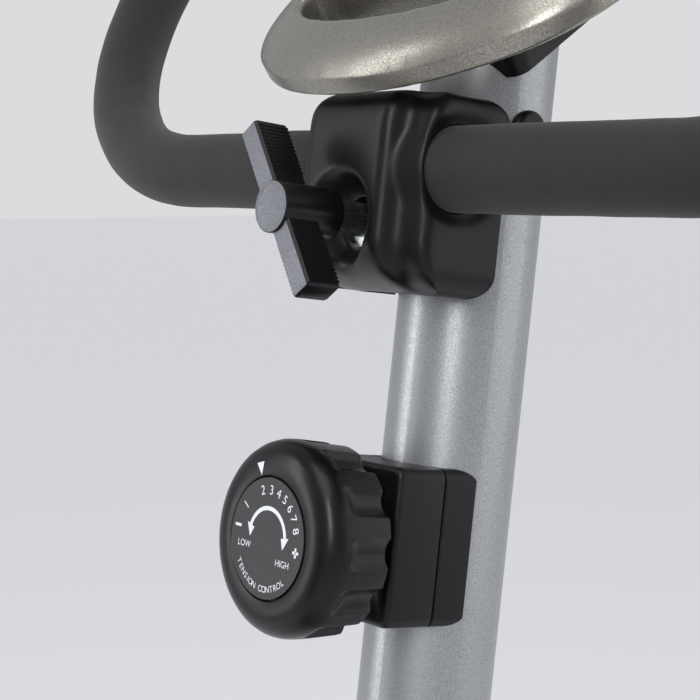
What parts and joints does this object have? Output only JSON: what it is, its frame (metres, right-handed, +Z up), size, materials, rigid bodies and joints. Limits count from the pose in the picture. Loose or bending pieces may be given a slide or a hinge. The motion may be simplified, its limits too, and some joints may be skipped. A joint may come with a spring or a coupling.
{
  "type": "exercise bike",
  "caption": "Upright stationary bike with a flat frame on two cross feet, belt-driven flywheel, round tension dial, curved foam handlebar, tilted console and padded saddle.",
  "frame": {"origin": "on the floor, under the middle of the bounding box", "axes": "+X the way the rider faces, +Y the rider's left, +Z up"},
  "size_m": [0.94, 0.5644, 1.27],
  "materials": {
    "frame_paint": "satin silver paint",
    "post_silver": "silver hammer paint",
    "tube_steel": "drawn",
    "zinc_steel": "zinc plated",
    "crank_metal": "black paint",
    "flywheel_iron": "machined",
    "magnet_metal": "plated",
    "black_plastic": "fine grain",
    "cover_plastic": "fine grain",
    "rim_plastic": "metallic flake paint",
    "dial_print": "printed",
    "belt_rubber": "matt",
    "key_rubber": "matt",
    "strap_rubber": "matt",
    "saddle_vinyl": "grained vinyl",
    "grip_foam": "closed-cell foam",
    "screen": "clear window over a display"
  },
  "bodies": {
    "frame": {"main_frame": "frame_paint", "rear_stabiliser": "frame_paint", "front_stabiliser": "frame_paint", "stabiliser_bolts": "zinc_steel", "stabiliser_nuts": "zinc_steel", "front_end_caps": "black_plastic", "bearing_cups": "zinc_steel", "flywheel_axle": "zinc_steel", "cover_left": "cover_plastic", "cover_right": "cover_plastic", "cover_screws": "zinc_steel", "seat_sleeve": "black_plastic", "seat_height_nut": "frame_paint", "handlebar_post": "post_silver", "post_plugs": "black_plastic", "post_bolts": "zinc_steel", "clamp_cap": "zinc_steel", "clamp_cover": "black_plastic", "tension_housing_front": "black_plastic", "tension_housing_rear": "black_plastic", "tension_dial": "dial_print", "brake_cable": "belt_rubber", "brake_spring": "zinc_steel", "console_rim": "rim_plastic", "console_body": "black_plastic", "console_display": "screen", "drive_belt": "belt_rubber"},
    "wheel_left": {"transport_wheel_left": "black_plastic"},
    "wheel_right": {"transport_wheel_right": "black_plastic"},
    "levelling_cap_left": {"rear_end_cap_left": "black_plastic"},
    "levelling_cap_right": {"rear_end_cap_right": "black_plastic"},
    "crankset": {"crank_axle": "zinc_steel", "drive_pulley": "black_plastic", "crank_left": "crank_metal", "crank_right": "crank_metal", "crank_nuts": "zinc_steel", "pedal_spindles": "zinc_steel"},
    "left_pedal": {"pedal_left": "black_plastic", "pedal_strap_left": "strap_rubber"},
    "right_pedal": {"pedal_right": "black_plastic", "pedal_strap_right": "strap_rubber"},
    "flywheel_body": {"flywheel": "flywheel_iron"},
    "brake_arm": {"magnet_bracket": "frame_paint", "brake_magnets": "magnet_metal"},
    "seat_mast": {"seat_post": "frame_paint"},
    "height_knob": {"seat_height_knob": "black_plastic"},
    "saddle": {"seat_carriage": "zinc_steel", "saddle_clamp": "zinc_steel", "saddle_rails": "zinc_steel", "saddle_shell": "black_plastic", "saddle_pad": "saddle_vinyl"},
    "slider_knob": {"seat_slider_knob": "black_plastic"},
    "bars": {"handlebar": "tube_steel", "foam_grips": "grip_foam", "bar_end_caps": "black_plastic"},
    "clamp_knob": {"tee_knob": "black_plastic", "tee_stud": "zinc_steel", "tee_sleeve": "zinc_steel"},
    "tension_ring": {"tension_knob": "black_plastic"},
    "keys": {"console_keys": "key_rubber"}
  },
  "joints": [
    {"name": "wheel_left_spin", "type": "hinge", "parent": "frame", "child": "wheel_left", "pos_m": [0.446, 0.248, 0.032], "axis": [0, 1, 0], "continuous": true},
    {"name": "wheel_right_spin", "type": "hinge", "parent": "frame", "child": "wheel_right", "pos_m": [0.446, -0.248, 0.032], "axis": [0, 1, 0], "continuous": true},
    {"name": "levelling_left", "type": "hinge", "parent": "frame", "child": "levelling_cap_left", "pos_m": [-0.44, 0.24, 0.03], "axis": [0, 1, 0], "range_deg": [0, 90]},
    {"name": "levelling_right", "type": "hinge", "parent": "frame", "child": "levelling_cap_right", "pos_m": [-0.44, -0.24, 0.03], "axis": [0, 1, 0], "range_deg": [0, 90]},
    {"name": "crank_turn", "type": "hinge", "parent": "frame", "child": "crankset", "pos_m": [-0.03, 0, 0.31], "axis": [0, 1, 0], "continuous": true},
    {"name": "pedal_left_spin", "type": "hinge", "parent": "crankset", "child": "left_pedal", "pos_m": [-0.2, 0.145, 0.31], "axis": [0, 1, 0], "continuous": true},
    {"name": "pedal_right_spin", "type": "hinge", "parent": "crankset", "child": "right_pedal", "pos_m": [0.14, -0.145, 0.31], "axis": [0, 1, 0], "continuous": true},
    {"name": "flywheel_spin", "type": "hinge", "parent": "frame", "child": "flywheel_body", "pos_m": [0.3, 0, 0.27], "axis": [0, 1, 0], "continuous": true},
    {"name": "brake_arm_swing", "type": "hinge", "parent": "frame", "child": "brake_arm", "pos_m": [0.212, 0, 0.372], "axis": [0, 1, 0], "range_deg": [-1.1, 2.5], "deforming": ["brake_spring", "brake_cable"]},
    {"name": "seat_height", "type": "slide", "parent": "frame", "child": "seat_mast", "axis": [-0.2588, 0, 0.9659], "range_m": [-0.11, 0.05]},
    {"name": "seat_height_knob_turn", "type": "hinge", "parent": "frame", "child": "height_knob", "pos_m": [-0.13989, 0, 0.52695], "axis": [-0.9659, 0, -0.2588], "range_deg": [0, 180]},
    {"name": "seat_fore_aft", "type": "slide", "parent": "seat_mast", "child": "saddle", "axis": [1, 0, 0], "range_m": [-0.04, 0.04]},
    {"name": "seat_slider_knob_turn", "type": "hinge", "parent": "saddle", "child": "slider_knob", "pos_m": [-0.15682, 0.035, 0.8063], "axis": [0, 1, 0], "range_deg": [0, 180]},
    {"name": "handlebar_tilt", "type": "hinge", "parent": "frame", "child": "bars", "pos_m": [0.20292, 0, 1.05468], "axis": [0, 1, 0], "range_deg": [-20, 20]},
    {"name": "clamp_knob_turn", "type": "hinge", "parent": "frame", "child": "clamp_knob", "pos_m": [0.16069, 0, 1.0405], "axis": [-0.9914, 0, 0.1312], "range_deg": [0, 720]},
    {"name": "tension_knob_turn", "type": "hinge", "parent": "frame", "child": "tension_ring", "pos_m": [0.15965, 0, 0.92594], "axis": [-0.9914, 0, 0.1312], "range_deg": [-89, 38]},
    {"name": "keys_press", "type": "slide", "parent": "frame", "child": "keys", "axis": [0.5446, 0, -0.8387], "range_m": [0, 0.0015], "stiffness_N_per_m": 900}
  ],
  "couplings": [
    {"joint": "flywheel_spin", "follows": "crank_turn", "ratio": 5.507},
    {"joint": "brake_arm_swing", "follows": "tension_knob_turn", "ratio": -0.027}
  ]
}
